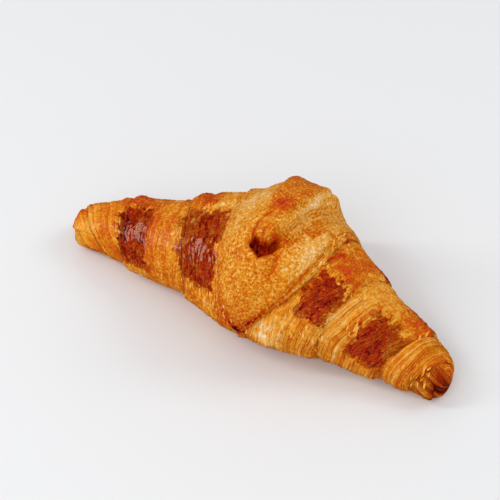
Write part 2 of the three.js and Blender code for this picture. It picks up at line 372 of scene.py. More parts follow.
FLAP_LONGER, FLAP_THICK, FLAP_FRONT, FLAP_BACK = 2.6, 0.9, 62.0, -110.0

# Broad swellings and hollows: (x, psi, half x, half psi, height)
SWELLINGS = [
    (-59.3, -45, 5.5, 45, 2.2), (-30.0, -45, 9.0, 45, 1.7), (-27.3, -36, 1.8, 25, -1.2),
    (-8.5, -30, 4.0, 25, -1.2), (2.0, -34, 8.0, 30, -2.2), (15.5, -50, 3.5, 22, 1.0),
    (12.5, 98, 6.0, 20, 1.0), (29.0, -70, 5.0, 35, -0.5), (37.0, -62, 4.0, 40, -0.6),
    (43.5, -55, 3.5, 40, 0.9), (54.5, 88, 5.5, 25, 1.2), (58.5, -62, 6.5, 45, 1.3),
    (65.5, -58, 4.0, 45, 1.2), (74.5, -60, 2.5, 45, -0.9),
]

# %% The last wrap over the belly
def tear(corners, x, arc):
    """Distance in mm outside a torn opening, negative inside it. Its corners run clockwise."""
    corners = np.array(corners)
    sides = []
    for (ax, aa), (bx, ba) in zip(corners, np.roll(corners, -1, axis=0)):
        length = math.hypot(bx - ax, ba - aa)
        sides.append(((x - ax) * (aa - ba) + (arc - aa) * (bx - ax)) / length)
    return np.max(sides, axis=0)


def side_of(points, x, arc):
    """Signed distance from a line that runs one way in arc, positive on its right."""
    distance, share = stroke(points, x, arc)
    line_x, line_arc = np.array(sorted(points, key=lambda point: point[1])).T
    return np.sign(x - np.interp(arc, line_arc, line_x)) * distance, share


nose_x, nose_arc = (x - NOSE["x"]) / NOSE["half_x"], (arc - NOSE["arc"]) / NOSE["half_arc"]
nose_out = 3 * (np.hypot(nose_x, nose_arc) - 1)
hole = np.maximum(tear(HOLE, x, arc), 0.1 - nose_out)
cap_out = tear(CAP_CORNERS, x, arc)
cap = smooth(0.6, -1.2, cap_out)

fold, fold_share = stroke(FOLD, x, arc)
valley, valley_share = side_of(VALLEY, x, arc)
shoulder, _ = stroke(SHOULDER, x, arc)
crease, crease_share = stroke(CREASE, x, arc)
crack, _ = stroke(CRACK, x, arc)
second_edge, second_share = side_of(SECOND_EDGE, x, arc)

# In mm. The valley is steeper on the fold's side, and wider and shallower as it runs back.
FOLD_HIGH, FOLD_WIDE = 2.0, 4.6
VALLEY_DEEP, VALLEY_RISES = 3.2, 1.2
VALLEY_STEEP_SIDE, VALLEY_EASY_SIDE, VALLEY_WIDENS = 2.4, 3.6, 0.8
SHOULDER_HIGH, SHOULDER_WIDE = 0.9, 3.5
CREASE_DEEP, CREASE_WIDE = 0.5, 0.9
CUT_DEEP, CUT_WIDE = 0.6, 0.5
CAP_HIGH, CAP_RIM_DEEP, CAP_RIM_WIDE = 1.4, 0.4, 0.6

valley_width = np.where(valley < 0, VALLEY_STEEP_SIDE, VALLEY_EASY_SIDE)
valley_width += VALLEY_WIDENS * valley_share
dome_relief = FOLD_HIGH * bell(fold, FOLD_WIDE) * smooth(0, 0.1, fold_share)
dome_relief -= (VALLEY_DEEP - VALLEY_RISES * valley_share) * bell(valley, valley_width)
dome_relief -= 0.5 * bell(valley + 1.0, CUT_WIDE)
dome_relief += SHOULDER_HIGH * bell(shoulder, SHOULDER_WIDE)
crease_fades = np.sin(np.pi * np.clip(crease_share, 0.05, 0.95))
dome_relief -= CREASE_DEEP * bell(crease, CREASE_WIDE) * crease_fades
dome_relief -= CUT_DEEP * bell(crack, CUT_WIDE)
dome_relief -= CUT_DEEP * bell(second_edge, CUT_WIDE) * smooth(0, 0.1, second_share)
dome_relief += CAP_HIGH * cap
dome_relief -= CAP_RIM_DEEP * bell(cap_out - 0.5, CAP_RIM_WIDE) * smooth(-20, -14, arc)
dome_relief += NOSE["high"] * smooth(1.2, -1.8, nose_out)
dome_relief -= HOLE_DEEP * smooth(0.35, -1.2, hole) * (1 - 0.35 * smooth(8.0, 12.5, x))
print(f"the last wrap rises {dome_relief.max():.1f} mm and sinks {-dome_relief.min():.1f} mm")

# %% Ledges, layers and tips
LAYER_PITCH, LAYER_RISE, LAYER_EDGE = 3.2, 0.25, 0.22
DOME_RIM_HIGH, DOME_RIM_WIDE = 1.2, 0.7
CLEFT_DEEP, CLEFT_DEEPENS, CLEFT_WIDE, CLEFT_WIDENS = 0.8, 7.0, 0.4, 1.0
TIP_FADE = 2.5
relief = sum(patches(SWELLINGS))
inward = np.zeros(x.shape)  # distance from a wrap's own ledge
outer = np.zeros(x.shape)  # distance from the foot of the next ledge

# The relief fades towards the underside, which lay on the tray
shown = 1 - 0.8 * smooth(100, 150, np.abs(psi))
for wrap in range(9):
    here = wrap_of == wrap
    low, high = wrap_ends(wrap, psi[here])
    width = np.maximum(high - low, 0.5)
    if wrap in WRAPS:
        form = WRAPS[wrap]
        inward[here] = x[here] - low if form["side"] < 0 else high - x[here]
        outer[here] = width - inward[here]
        share = np.clip(inward[here] / width, 0, 1)
        count = max(1, round(float(np.mean(width)) / LAYER_PITCH))
        within = share * count - np.floor(share * count)
        layer = smooth(0, LAYER_EDGE, within) * (1 - within) ** 0.8
        soft = 0
        if form["glazed"]:
            soft = smooth(form["glazed"] + 1.5, form["glazed"] - 1.5, inward[here])
        height = form["step"] * (1 - bell(inward[here], form["run"])) * (1 - 0.85 * share)
        height += form["crown"] * np.sin(np.pi * share) - form["crease"] * bell(outer[here], 0.8)
        height += LAYER_RISE * (1 - 0.7 * soft) * layer
        relief[here] += shown[here] * height
    elif wrap == DOME:
        rim = np.minimum(x[here] - low, high - x[here])
        inward[here] = outer[here] = rim
        rim_high = DOME_RIM_HIGH * (1 - bell(rim, DOME_RIM_WIDE))
        relief[here] += shown[here] * rim_high + dome_relief[here]
    elif wrap == LEFT_TIP:
        inward[here] = outer[here] = high - x[here]
        flap = smooth(FLAP_FRONT + 2, FLAP_FRONT - 4, psi[here])
        flap *= smooth(FLAP_BACK, FLAP_BACK + 30, psi[here])
        relief[here] += FLAP_THICK * flap * smooth(0.2, 3.0, inward[here])
    else:
        inward[here] = outer[here] = x[here] - low
        cleft, cleft_share = stroke(CLEFT, x[here], psi[here] * CLEFT_MM_PER_DEGREE)
        cleft_width = CLEFT_WIDE + CLEFT_WIDENS * cleft_share
        relief[here] -= (CLEFT_DEEP + CLEFT_DEEPENS * cleft_share) * bell(cleft, cleft_width)
relief *= smooth(0, TIP_FADE, HALF - np.abs(x))

# At the left tip an upper flap is longer than the dough under it, which leaves a notch
under_flap = smooth(FLAP_FRONT - 2, FLAP_FRONT + 3, psi) + smooth(FLAP_BACK, FLAP_BACK - 20, psi)
shortened = FLAP_LONGER * under_flap * smooth(-70.5, -77.5, x)
print(f"relief from {relief.min():.1f} to {relief.max():.1f} mm")

# %% [markdown]
# ## Where the crust is dark, pale or glossy
# Egg wash was brushed on before baking, and it browned where the dough stood highest. Those
# bands are glossy and dark, and the last wrap stayed pale and dry. Each is a map on x and psi,
# kept on the mesh as an attribute, and noise in the material breaks up its edges.

# %% Bands of egg wash and of plain browning
FAR_IN = 6.0  # no band reads deeper, and a place outside all bands reads minus this


def within_band(wrap, across, from_psi, to_psi):
    """Signed distance in mm into a stretch of a wrap, positive inside it."""
    round_it = np.minimum(psi - from_psi, to_psi - psi) * MM_PER_DEGREE * girth(x)
    inside = np.where(wrap_of[:, None] == wrap, np.minimum(across, round_it), -FAR_IN)
    return np.clip(inside, -FAR_IN, FAR_IN)


def band(wrap, from_inward, to_inward, from_psi, to_psi):
    """A stretch between two distances from the wrap's own ledge."""
    across = np.minimum(inward - from_inward, to_inward - inward)
    return within_band(wrap, across, from_psi, to_psi)


def overrun(wrap, reach, from_psi, to_psi):
    """A stretch where the wash ran on over the next ledge, onto the rim of this wrap."""
    return within_band(wrap, reach - outer, from_psi, to_psi)


glaze = np.maximum.reduce([
    band(BAND_A, -1.5, 13.2, -4, 88),
    band(BAND_B, -1.5, 17.4, 0, 80),
    overrun(LEFT_LAYERS, 1.3, 0, 80),
    overrun(BAND_A, 1.3, 6, 74),
    band(BAND_C, 1.0, 11.3, 12, 66),
    band(BAND_D, -0.8, 13.8, 3, 82),
    band(BAND_A, 1.0, 12.0, -92, -52),
    band(BAND_B, 2.0, 15.0, -95, -56),
    band(BAND_C, 1.0, 9.5, -90, -52),
    band(BAND_D, 1.0, 11.0, -92, -50),
])
browned = np.maximum.reduce([
    band(BAND_A, 1.0, 13.0, -70, 0),
    band(BAND_B, 1.0, 13.0, -70, 5),
    band(BAND_C, 0.5, 10.0, -60, 12),
    band(BAND_D, -1.5, 10.0, -60, 26),
])
print(f"egg wash on {(glaze > 0).mean():.0%} of the points")

# %% Pale and darker patches
# An amount below 0 is a place that browned a little more
PALE_PATCHES = [
    (-6.0, -8, 9.0, 26, 0.9), (20.5, 10, 4.5, 24, 0.9), (22.0, -36, 3.5, 20, 0.6),
    (13.0, -24, 1.5, 24, 0.5), (22.0, 70, 2.8, 14, 1.3), (-72.0, 80, 5.0, 40, 0.9),
    (-77.6, 0, 1.6, 60, -0.5), (-75.5, -10, 3.5, 26, -0.5), (57.5, 14, 4.0, 28, 0.55),
    (33.5, 50, 3.5, 22, 0.6), (56.5, 44, 3.0, 30, 0.35), (51.0, 46, 2.6, 20, -0.3),
    (30.0, 30, 2.4, 16, -0.5), (27.0, 78, 5.0, 10, 0.4), (-8.0, 26, 5.0, 24, 0.3),
    (5.0, 50, 8.0, 14, -0.25), (2.0, 88, 9.0, 16, -0.3), (72.0, 30, 5.0, 60, -0.7),
    (-71.5, 25, 4.0, 50, 0.6), (-38.0, 30, 7.0, 60, -0.42), (-61.0, 25, 6.0, 60, -0.30),
    (48.0, -20, 12.0, 30, 0.3), (12.5, 4, 4.5, 22, 0.3), (13.0, -24, 2.6, 20, 0.7),
    (40.0, 60, 4.0, 50, 0.3),
]
pale = sum(patches(PALE_PATCHES))

# Two strokes of the brush left less wash: (points, amount, half width)
PALE_STROKES = [
    ([(-30.0, 4), (-28.0, 14), (-25.5, 24), (-22.5, 34)], 0.5, 2.4),
    ([(-25.5, 6.5), (-24.4, 3.8), (-22.6, 0.5), (-20.4, -1.9), (-18.0, -3.8)], 1.5, 0.9),
]
for points, amount, half_width in PALE_STROKES:
    pale += amount * bell(stroke(points, x, arc)[0], half_width)

# Under the last wrap's front rim a sheet was torn away from a wrap and left it pale and smooth
TORN_PATCH = (14.5, 92, 5.0, 13, 1.0)
torn = patches([TORN_PATCH])[0] * (wrap_of[:, None] == BAND_C)
pale += 2.0 * torn
print(f"pale amounts from {pale.min():.2f} to {pale.max():.2f}")

# %% Scorched places, and painted shade in the hole and in dents
# Thin edges char first, and some strokes paint shade into dents instead: (points, half width,
# amount)
SCORCH_AND_SHADE_STROKES = [
    ([(4.0, 47.0), (5.6, 49.4)], 1.5, 0.8),
    ([(-4.4, 38.0), (-1.4, 43.0), (3.2, 47.5)], 0.7, 0.42),
    # Painted shade in the crevice by the last wrap's right edge
    ([(27.3, -12.6), (27.6, -13.2)], 1.3, 0.55),
    ([(26.8, 2.0), (29.3, -4.5)], 0.8, 0.4),
    ([(25.2, 24.5), (23.6, 31.0), (21.3, 39.0)], 0.55, 0.28),
    # Painted shade in a small groove on the right horn
    ([(43.6, 8.0), (41.4, 15.0)], 0.55, 0.6),
    # Painted shade at the hole's right end, under the nose
    ([(9.6, 9.5), (12.4, 7.0)], 1.7, 0.42),
    # Painted shade along the crease, which is also cut as a shallow dent
    (CREASE, 0.8, 0.36),
    (CRACK, 0.6, 0.38),
    (DOTTED_SEAM, 0.9, 0.42),
    (SECOND_EDGE, 0.55, 0.34),
]
HOLE_PAINTED_SHADE, SPOT_SCORCH, NOSE_SCORCH, TIP_SCORCH = 0.80, 0.44, 0.13, 0.68
ON_A_HORN = 40.0  # beyond this x, arcs are measured on the thinner horn

# Painted shade: the inside of the burst hole is painted dark where the nose shades it, a little
# less towards its right end.
scorch_and_shade = np.where(wrap_of[:, None] == DOME, HOLE_PAINTED_SHADE * smooth(0.3, -0.5, hole), 0.0)
scorch_and_shade *= 1 - 0.28 * smooth(7.5, 12.0, x)
for points, width, amount in SCORCH_AND_SHADE_STROKES:
    distance, _ = stroke(points, x, arc * girth(x) if points[0][0] > ON_A_HORN else arc)
    scorch_and_shade = np.maximum(scorch_and_shade, amount * bell(distance, width))
dark_spot = np.hypot((x - 5.6) / 3.4, (arc + 0.4) / 2.6)
scorch_and_shade = np.maximum(scorch_and_shade, SPOT_SCORCH * bell(dark_spot, 1.0))
scorch_and_shade = np.maximum(scorch_and_shade, NOSE_SCORCH * smooth(1.0, -1.5, nose_out))
darker_in_front = 0.42 * smooth(-90, -30, psi) + 0.58 * smooth(5, 50, psi)
tip_end = smooth(71.5, 76.5, x) * darker_in_front * smooth(160, 120, psi)
scorch_and_shade = np.maximum(scorch_and_shade, TIP_SCORCH * tip_end)
print(f"scorched at {(scorch_and_shade > 0.3).mean():.1%} of the points")

# %% Where the layers and the grain show
dome_here = (wrap_of[:, None] == DOME) * np.ones(x.shape)
layered = 1 - dome_here
for wrap in (BAND_A, BAND_B, BAND_C, BAND_D):
    layered[wrap_of == wrap] *= 1 - 0.75 * smooth(-1.0, 1.0, glaze[wrap_of == wrap])


RIPPLE_WAVES, RIPPLE_SPREAD = 7, 2.6


def ripple(x, psi, seed, reach, turns):
    """A slow, uneven wave over the crust that closes on itself round the roll."""
    own = np.random.default_rng(seed)
    total = np.zeros(x.shape)
    for _ in range(RIPPLE_WAVES):
        around_it = own.integers(-turns, turns + 1)
        along_it = own.normal() * 2 / reach
        total += np.cos(np.radians(psi) * around_it + x * along_it + own.uniform(0, 2 * math.pi))
    return total / RIPPLE_SPREAD


# The spacing of the layers in mm on each wrap, and their slant across it in mm for each degree.
# Each wrap counts its sheets from a number of its own.
SHEET_PITCH = [3.0, 3.2, 1.9, 1.8, 1.5, 1.2, 1.1, 1.0, 1.2]
SHEET_SLANT = {BAND_C: 0.06, BAND_D: 0.04, RIGHT_LAYERS: -0.03, RIGHT_TIP: 0.42}
SHEETS_APART = 60
VALLEY_PITCH = 1.7
SHEET_WANDER = 0.8
depth = np.zeros(x.shape)
pitch = np.array(SHEET_PITCH)[wrap_of][:, None] * np.ones(x.shape)
for wrap in range(9):
    here = wrap_of == wrap
    low, high = wrap_ends(wrap, psi[here], smooth_edge)
    from_left = wrap == RIGHT_TIP or (wrap in WRAPS and WRAPS[wrap]["side"] < 0)
    depth[here] = x[here] - low if from_left else high - x[here]
    if wrap == DOME:
        depth[here] = np.minimum(x[here] - low, depth[here])
    depth[here] -= SHEET_SLANT.get(wrap, 0.0) * np.clip(psi[here], 0, 110)

# The sheets of the last wrap follow its rims, and in the valley they follow the valley
rim_lines = 0.8 * bell(np.minimum(inward, outer) - 0.6, 3.4) * dome_here
valley_lines = 0.8 * bell(valley - 0.3, 4.0) * smooth(0.0, 0.12, valley_share) * dome_here
in_valley = valley_lines > rim_lines
apart = np.abs(valley_lines - rim_lines) / (valley_lines + rim_lines + 0.01)
layered = np.maximum(layered, np.maximum(rim_lines, valley_lines) * apart)
depth = np.where(in_valley, valley, depth)
pitch = np.where(in_valley, VALLEY_PITCH, pitch)
depth += SHEETS_APART * pitch * wrap_of[:, None]
depth += SHEET_WANDER * ripple(x, psi, SEED, reach=26, turns=2)

# %% How much the layers show, how grainy the crust is, and the painted shade in the crevices at the ledges
layered[wrap_of <= BAND_B] *= 0.5
grainy = dome_here.copy()
for wrap, amount in ((LEFT_TIP, 0.1), (LEFT_LAYERS, 0.35), (BAND_A, 0.7), (BAND_B, 0.7)):
    grainy[wrap_of == wrap] = amount
# The backs of the right wraps are bubbly where the front ones are layered
for wrap in (BAND_C, BAND_D):
    here = wrap_of == wrap
    bubbly = smooth(22, -12, psi[here]) * smooth(-1.0, 3.0, inward[here])
    grainy[here] = 0.65 * bubbly
    layered[here] *= 1 - 0.7 * bubbly
layered *= 1 - 0.6 * torn
layered[wrap_of == RIGHT_TIP] *= 1.25
# Painted shade: a dark line is painted in the crevice on both sides of each ledge, half as strong
# on the last wrap and faint on the left tip and its first layers.
crevice_shade = np.maximum(bell(outer, 0.55), bell(inward, 0.25)) * (1 - 0.5 * dome_here)
crevice_shade[wrap_of <= LEFT_LAYERS] *= 0.2
print(f"layers show on {(layered > 0.5).mean():.0%} of the points")

# %% Loose flakes gather where the sheets were torn or stand up
FLAKY_PATCHES = [
    (20.5, 76, 4.5, 13, 0.9), (13.5, 95, 6.0, 9, 0.7), (-10.0, 90, 8.0, 11, 0.7),
    (-21.0, 92, 7.0, 10, 0.45), (26.5, -16, 2.5, 9, 0.7), (25.6, 8, 1.6, 14, 0.5),
    (31.0, 78, 5.0, 14, 0.35), (41.5, 36, 2.5, 34, 0.3), (69.0, 50, 4.0, 30, 0.12),
    (-22.0, 0, 2.6, 8, 0.8),
]
FLAKES_AT_LEDGES = 0.06
flaky = FLAKES_AT_LEDGES * bell(inward, 0.8) * (1 - dome_here)
flaky = np.maximum.reduce([flaky, *patches(FLAKY_PATCHES)])
flaky *= smooth(1.0, -1.0, glaze) * smooth(110, 95, np.abs(psi))
print(f"flakes may lie on {(flaky > 0.05).mean():.0%} of the points")

# %% [markdown]
# ## The roll in Geometry Nodes
# The spindle follows a rule, so it is made by one: a node tree moves the grid's points onto it,
# with the sizes of the belly and the horns as its inputs. The same tree then pushes the points
# out along the normals by the relief, adds the fine layers, the pores and the wrinkled glaze as
# noise that is stretched round the roll, and presses the base flat.

# %% The grid as a mesh with its maps
def grid_mesh(name):
    """A closed tube of rings with a pole at each tip. Its places are set later, by the tree."""
    index = np.arange(rings * columns).reshape(rings, columns)
    here, beyond = index[:-1], index[1:]
    beside = np.roll(here, -1, axis=1)
    across = np.roll(beyond, -1, axis=1)
    quads = np.stack([here, beside, across, beyond], -1).reshape(-1, 4)
    left_pole, right_pole = rings * columns, rings * columns + 1
    first, last = index[0], index[-1]
    caps = [(left_pole, int(b), int(a)) for a, b in zip(first, np.roll(first, -1))]
    caps += [(right_pole, int(a), int(b)) for a, b in zip(last, np.roll(last, -1))]
    mesh = bpy.data.meshes.new(name)
    points = [(0.0, 0.0, 0.0)] * (rings * columns + 2)
    mesh.from_pydata(points, [], [tuple(map(int, q)) for q in quads] + caps)
    return mesh


def add_map(mesh, name, values, at_left=0.0, at_right=0.0):
    """Stores one number for each point. The two poles come last."""
    layer = mesh.attributes.new(name, "FLOAT", "POINT")
    numbers = np.append(values.ravel(), (at_left, at_right)).astype(np.float32)
    layer.data.foreach_set("value", numbers)


grid = grid_mesh("roll_grid")
add_map(grid, "along", (x + shortened) * MM, -HALF * MM, HALF * MM)
add_map(grid, "around", np.radians(psi))
add_map(grid, "relief", relief * MM)
add_map(grid, "depth", depth)
add_map(grid, "pitch", pitch, SHEET_PITCH[0], SHEET_PITCH[-1])
add_map(grid, "glaze", glaze, -FAR_IN, -FAR_IN)
add_map(grid, "browned", browned, -FAR_IN, -FAR_IN)
add_map(grid, "layered", layered, 1.0, 1.0)
add_map(grid, "grainy", grainy, 0.1)
add_map(grid, "shown", shown * smooth(0, TIP_FADE, HALF - np.abs(x)))
add_map(grid, "pale", pale)
add_map(grid, "scorch_and_shade", scorch_and_shade)
add_map(grid, "dome", dome_here)
add_map(grid, "flaky", flaky)
add_map(grid, "crevice_shade", crevice_shade)
add_map(grid, "cap", cap * dome_here)
print("maps:", [a.name for a in grid.attributes if a.data_type == "FLOAT"])

# %% Helpers for geometry trees
def geometry_tree(name, sizes):
    """A new tree with a geometry input, the named sizes and a material, and its two ends."""
    tree = bpy.data.node_groups.new(name, "GeometryNodeTree")

    def socket(name, kind, way="INPUT"):
        return tree.interface.new_socket(name, in_out=way, socket_type="NodeSocket" + kind)

    socket("Geometry", "Geometry")
    for size_name, value in sizes.items():
        socket(size_name, "Float").default_value = value
    socket("Finish", "Material")
    socket("Geometry", "Geometry", "OUTPUT")
    graph = Graph(tree)
    entry = tree.nodes.new("NodeGroupInput")
    return graph, {given.name: Wire(graph, given) for given in entry.outputs if given.name}


def close_tree(graph, geometry, finish):
    """Every tree ends the same way: instances made real, then the material."""
    real = graph.node("GeometryNodeRealizeInstances", links={"Geometry": geometry})
    named = graph.node("GeometryNodeSetMaterial", links={"Geometry": real, "Material": finish})
    end = graph.tree.nodes.new("NodeGroupOutput")
    graph.tree.links.new(named.socket, end.inputs[0])


def stored(graph, name):
    """A number that is stored on the points under this name."""
    return graph.node("GeometryNodeInputNamedAttribute", links={"Name": name})


def grow(name, mesh, graph, sizes, finish):
    """Runs a tree on a mesh and returns the plain mesh object that comes out."""
    carrier = placed(name + "_carrier", mesh)
    modifier = carrier.modifiers.new("tree", "NODES")
    modifier.node_group = graph.tree
    values = sizes | {"Finish": finish}
    for item in graph.tree.interface.items_tree:
        if item.in_out == "INPUT" and item.name in values:
            modifier[item.identifier] = values[item.name]
    evaluated = carrier.evaluated_get(bpy.context.evaluated_depsgraph_get())
    result = bpy.data.meshes.new_from_object(evaluated)
    result.name = name
    piece = placed(name, result)
    bpy.data.objects.remove(carrier)
    return piece


# %% The tree: spindle, relief, fine layers, flat base
ROLL_SIZES = {
    "Belly width": BELLY_WIDTH * MM,
    "Belly height": BELLY_HEIGHT * MM,
    "Left tip width": LEFT_HORN["width"] * MM,
    "Left tip height": LEFT_HORN["height"] * MM,
    "Right tip width": RIGHT_HORN["width"] * MM,
    "Right tip height": RIGHT_HORN["height"] * MM,
    "Bow": BOW * MM,
    "Skew": SKEW * MM,
    "Layer height": 0.55 * MM,
    "Pore depth": 0.05 * MM,
    "Glaze wrinkle": 0.14 * MM,
    "Unevenness": 0.30 * MM,
}
roll, size = geometry_tree("wound_roll", ROLL_SIZES)
along = stored(roll, "along")
around = stored(roll, "around")
on_left = along.math("LESS_THAN", BELLY_X * MM)
on_right = 1.0 - on_left
reach = on_left * ((HALF + BELLY_X) * MM) + on_right * ((HALF - BELLY_X) * MM)
share = (along - BELLY_X * MM).math("ABSOLUTE") / reach


def eased(horn):
    """How far a horn has thinned at each share of its length."""
    near, far = BELLY_ROUNDING ** horn["flare"], math.hypot(1, BELLY_ROUNDING) ** horn["flare"]
    there = (share * share + BELLY_ROUNDING**2) ** (horn["flare"] / 2)
    return (1.0 - (there - near) / (far - near)).math("MAXIMUM", 0.0) ** horn["waist"]


def horn_size(left_tip, right_tip, belly):
    left = size[left_tip] + (size[belly] - size[left_tip]) * eased(LEFT_HORN)
    right = size[right_tip] + (size[belly] - size[right_tip]) * eased(RIGHT_HORN)
    return on_left * left + on_right * right


width = horn_size("Left tip width", "Right tip width", "Belly width")
height = horn_size("Left tip height", "Right tip height", "Belly height")
rounding = on_left * (LEFT_HORN["round"] * MM) + on_right * (RIGHT_HORN["round"] * MM)
inset = (1.0 - (HALF * MM - along.math("ABSOLUTE")) / rounding).math("MAXIMUM", 0.0)
closing = (1.0 - inset**2.5).math("MAXIMUM", 0.0).math("SQRT")


def squared(wave):
    """A sine or cosine drawn towards a box, which gives the section its flat sides."""
    return wave.math("SIGN") * wave.math("ABSOLUTE") ** (2 / SQUARENESS)


across = squared(-around.math("SINE"))
upward = squared(around.math("COSINE"))
above = upward.math("GREATER_THAN", 0.0)
vertical = above * ABOVE_AXIS + (1.0 - above) * BELOW_AXIS
y = size["Bow"] * (0.5 - share * share) - size["Skew"] * along / (HALF * MM)
y = y + width * closing * across / 2.0 + CENTRED_BY * MM
z = height * (AXIS_LIFT + vertical * closing * upward)
on_spindle = {"Geometry": size["Geometry"], "Position": roll.vector(along, y, z)}
spindle = roll.node("GeometryNodeSetPosition", links=on_spindle)
print("spindle:", len(roll.tree.nodes), "nodes")

# %% Fine relief in the same tree
place = roll.node("GeometryNodeInputPosition")
_, place_y, place_z = roll.parts(place)


NOISE_SPREAD = 7.0  # raw noise keeps close to 0.5
STEP_RISE, STEP_SLOPE, LOWEST_STEP, STEP_SPREAD = 0.16, 0.85, 0.35, 0.9


def noise(graph, vector, scale, detail=2.0, roughness=0.5, distortion=0.0):
    """Noise that stays mostly between -1 and 1."""
    links = {"Vector": vector, "Scale": scale, "Detail": detail}
    links |= {"Roughness": roughness, "Distortion": distortion}
    return (graph.node("ShaderNodeTexNoise", links=links) - 0.5) * NOISE_SPREAD


def sheet_steps(graph, position):
    """The height of the cut sheets, from 0 to 1: a quick rise at each edge, then a slope back.
    Also the place within a sheet, and a random number of the sheet's own."""
    number = position.math("FLOOR")
    within = position - number
    own = graph.node("ShaderNodeTexWhiteNoise", {"noise_dimensions": "1D"}, {"W": number}, "Value")
    own_height = LOWEST_STEP + STEP_SPREAD * own
    return within.smooth(0.0, STEP_RISE) * (1.0 - STEP_SLOPE * within) * own_height, within, own


def stretched(graph, depth, y, z, scale):
    """A place for noise that runs in lines: exact across the sheets, drawn out along them."""
    return graph.vector(depth, y * scale, z * scale)


PER_MM = 1 / MM
ALONG_LINES, ALONG_WRINKLES = 0.05 * PER_MM, 0.28 * PER_MM
slow_drift = noise(roll, place, 0.05 * PER_MM, detail=1.0)
quick_drift = noise(roll, place, 0.22 * PER_MM, detail=1.0)
depth_at = stored(roll, "depth") + 0.8 * slow_drift + 0.09 * quick_drift
steps, _, _ = sheet_steps(roll, depth_at / stored(roll, "pitch"))
fine_lines = noise(roll, stretched(roll, depth_at, place_y, place_z, ALONG_LINES), 1.1, 2.0, 0.6)
wash_place = stretched(roll, depth_at, place_y, place_z, ALONG_WRINKLES)
wash_wrinkles = noise(roll, wash_place, 1.1, 2.0, 0.6, 0.4)
pores = noise(roll, place, 0.85 * PER_MM, roughness=0.65)
lumps = noise(roll, place, 0.13 * PER_MM)
glazed = stored(roll, "glaze").smooth(-1.0, 1.0)
fine = size["Layer height"] * stored(roll, "layered") * (steps + 0.25 * fine_lines)
fine += size["Pore depth"] * pores * (1.0 - 0.5 * glazed)
fine += size["Glaze wrinkle"] * glazed * wash_wrinkles
fine = (fine + size["Unevenness"] * lumps) * stored(roll, "shown")
with_depth = {"Geometry": spindle, "Name": "depth", "Value": depth_at}
stored_lines = roll.node("GeometryNodeStoreNamedAttribute", links=with_depth)
outward = roll.node("GeometryNodeInputNormal")
total = stored(roll, "relief") + fine
offset = roll.node("ShaderNodeVectorMath", {"operation": "SCALE"}, {0: outward, "Scale": total})
raised = roll.node("GeometryNodeSetPosition", links={"Geometry": stored_lines, "Offset": offset})

final_x, final_y, final_z = roll.parts(roll.node("GeometryNodeInputPosition"))
pressed = roll.vector(final_x, final_y, final_z.math("MAXIMUM", 0.0))
flat = roll.node("GeometryNodeSetPosition", links={"Geometry": raised, "Position": pressed})
rounded = roll.node("GeometryNodeSetShadeSmooth", links={"Geometry": flat})
close_tree(roll, rounded, size["Finish"])

crust_material = bpy.data.materials.new("crust")
crust = grow("croissant_crust", grid, roll, ROLL_SIZES, crust_material)
triangles = sum(len(p.vertices) - 2 for p in crust.data.polygons)
print("crust:", len(crust.data.vertices), "points,", triangles, "triangles")

# %% [markdown]
# ## Loose flakes
# Where the sheets were cut or torn, bits of them stand up from the crust. One leaf is a small ball
# pressed flat and curled. A tree strews it over the finished roll, as densely as the map "flaky"
# says, and lays each leaf along the wound sheets with a little turn of its own.

# %% The tree: a curled leaf strewn over the crust
FLAKE_SIZES = {
    "Leaf length": 1.5 * MM,
    "Leaf width": 0.38 * MM,
    "Leaf thickness": 0.07 * MM,
    "Curl": 0.16 * MM,
    "Flakes per square metre": 0.9e6,
}
LEAF_TURN = (0.35, 0.12, 0.35)  # radians either way
LEAF_SMALLEST, LEAF_LARGEST, LEAF_FACES = 0.45, 1.25, 80
strew, size = geometry_tree("strewn_flakes", FLAKE_SIZES)
round_ball = {"Radius": 1.0, "Subdivisions": 2}
ball = strew.node("GeometryNodeMeshIcoSphere", links=round_ball, output="Mesh")
leaf_x, leaf_y, leaf_z = strew.parts(strew.node("GeometryNodeInputPosition"))
leaf_place = strew.vector(
    leaf_x * size["Leaf length"],
    leaf_y * size["Leaf width"],
    leaf_z * size["Leaf thickness"] + size["Curl"] * (leaf_x * leaf_x + 0.5 * leaf_x * leaf_y),
)
leaf = strew.node("GeometryNodeSetPosition", links={"Geometry": ball, "Position": leaf_place})
density = size["Flakes per square metre"] * stored(strew, "flaky")
spread = {"Mesh": size["Geometry"], "Density": density, "Seed": SEED}
spots = strew.node("GeometryNodeDistributePointsOnFaces", links=spread, output="Points")
normal = spots.output("Normal")
upright = strew.node("FunctionNodeAlignRotationToVector", {"axis": "Z"}, {"Vector": normal})
crossed = {0: (1.0, 0.0, 0.0), 1: normal}
round_it = strew.node("ShaderNodeVectorMath", {"operation": "CROSS_PRODUCT"}, crossed)
about, towards = {"axis": "X", "pivot_axis": "Z"}, {"Rotation": upright, "Vector": round_it}
laid = strew.node("FunctionNodeAlignRotationToVector", about, towards)
either_way = {"Min": tuple(-t for t in LEAF_TURN), "Max": LEAF_TURN, "Seed": SEED}
own_turn = strew.node("FunctionNodeRandomValue", {"data_type": "FLOAT_VECTOR"}, either_way)
own_rotation = strew.node("FunctionNodeEulerToRotation", links={"Euler": own_turn})
both = {"Rotation": laid, "Rotate By": own_rotation}
turned = strew.node("FunctionNodeRotateRotation", {"rotation_space": "LOCAL"}, both)
between = {"Min_001": LEAF_SMALLEST, "Max_001": LEAF_LARGEST, "Seed": SEED + 1}
own_size = strew.node("FunctionNodeRandomValue", links=between, output="Value_001")
copies = {"Points": spots, "Instance": leaf, "Rotation": turned, "Scale": own_size}
strewn = strew.node("GeometryNodeInstanceOnPoints", links=copies)
close_tree(strew, strewn, size["Finish"])

flake_material = bpy.data.materials.new("flakes")
flakes = grow("croissant_flakes", crust.data.copy(), strew, FLAKE_SIZES, flake_material)
print("flakes:", len(flakes.data.polygons) // LEAF_FACES)

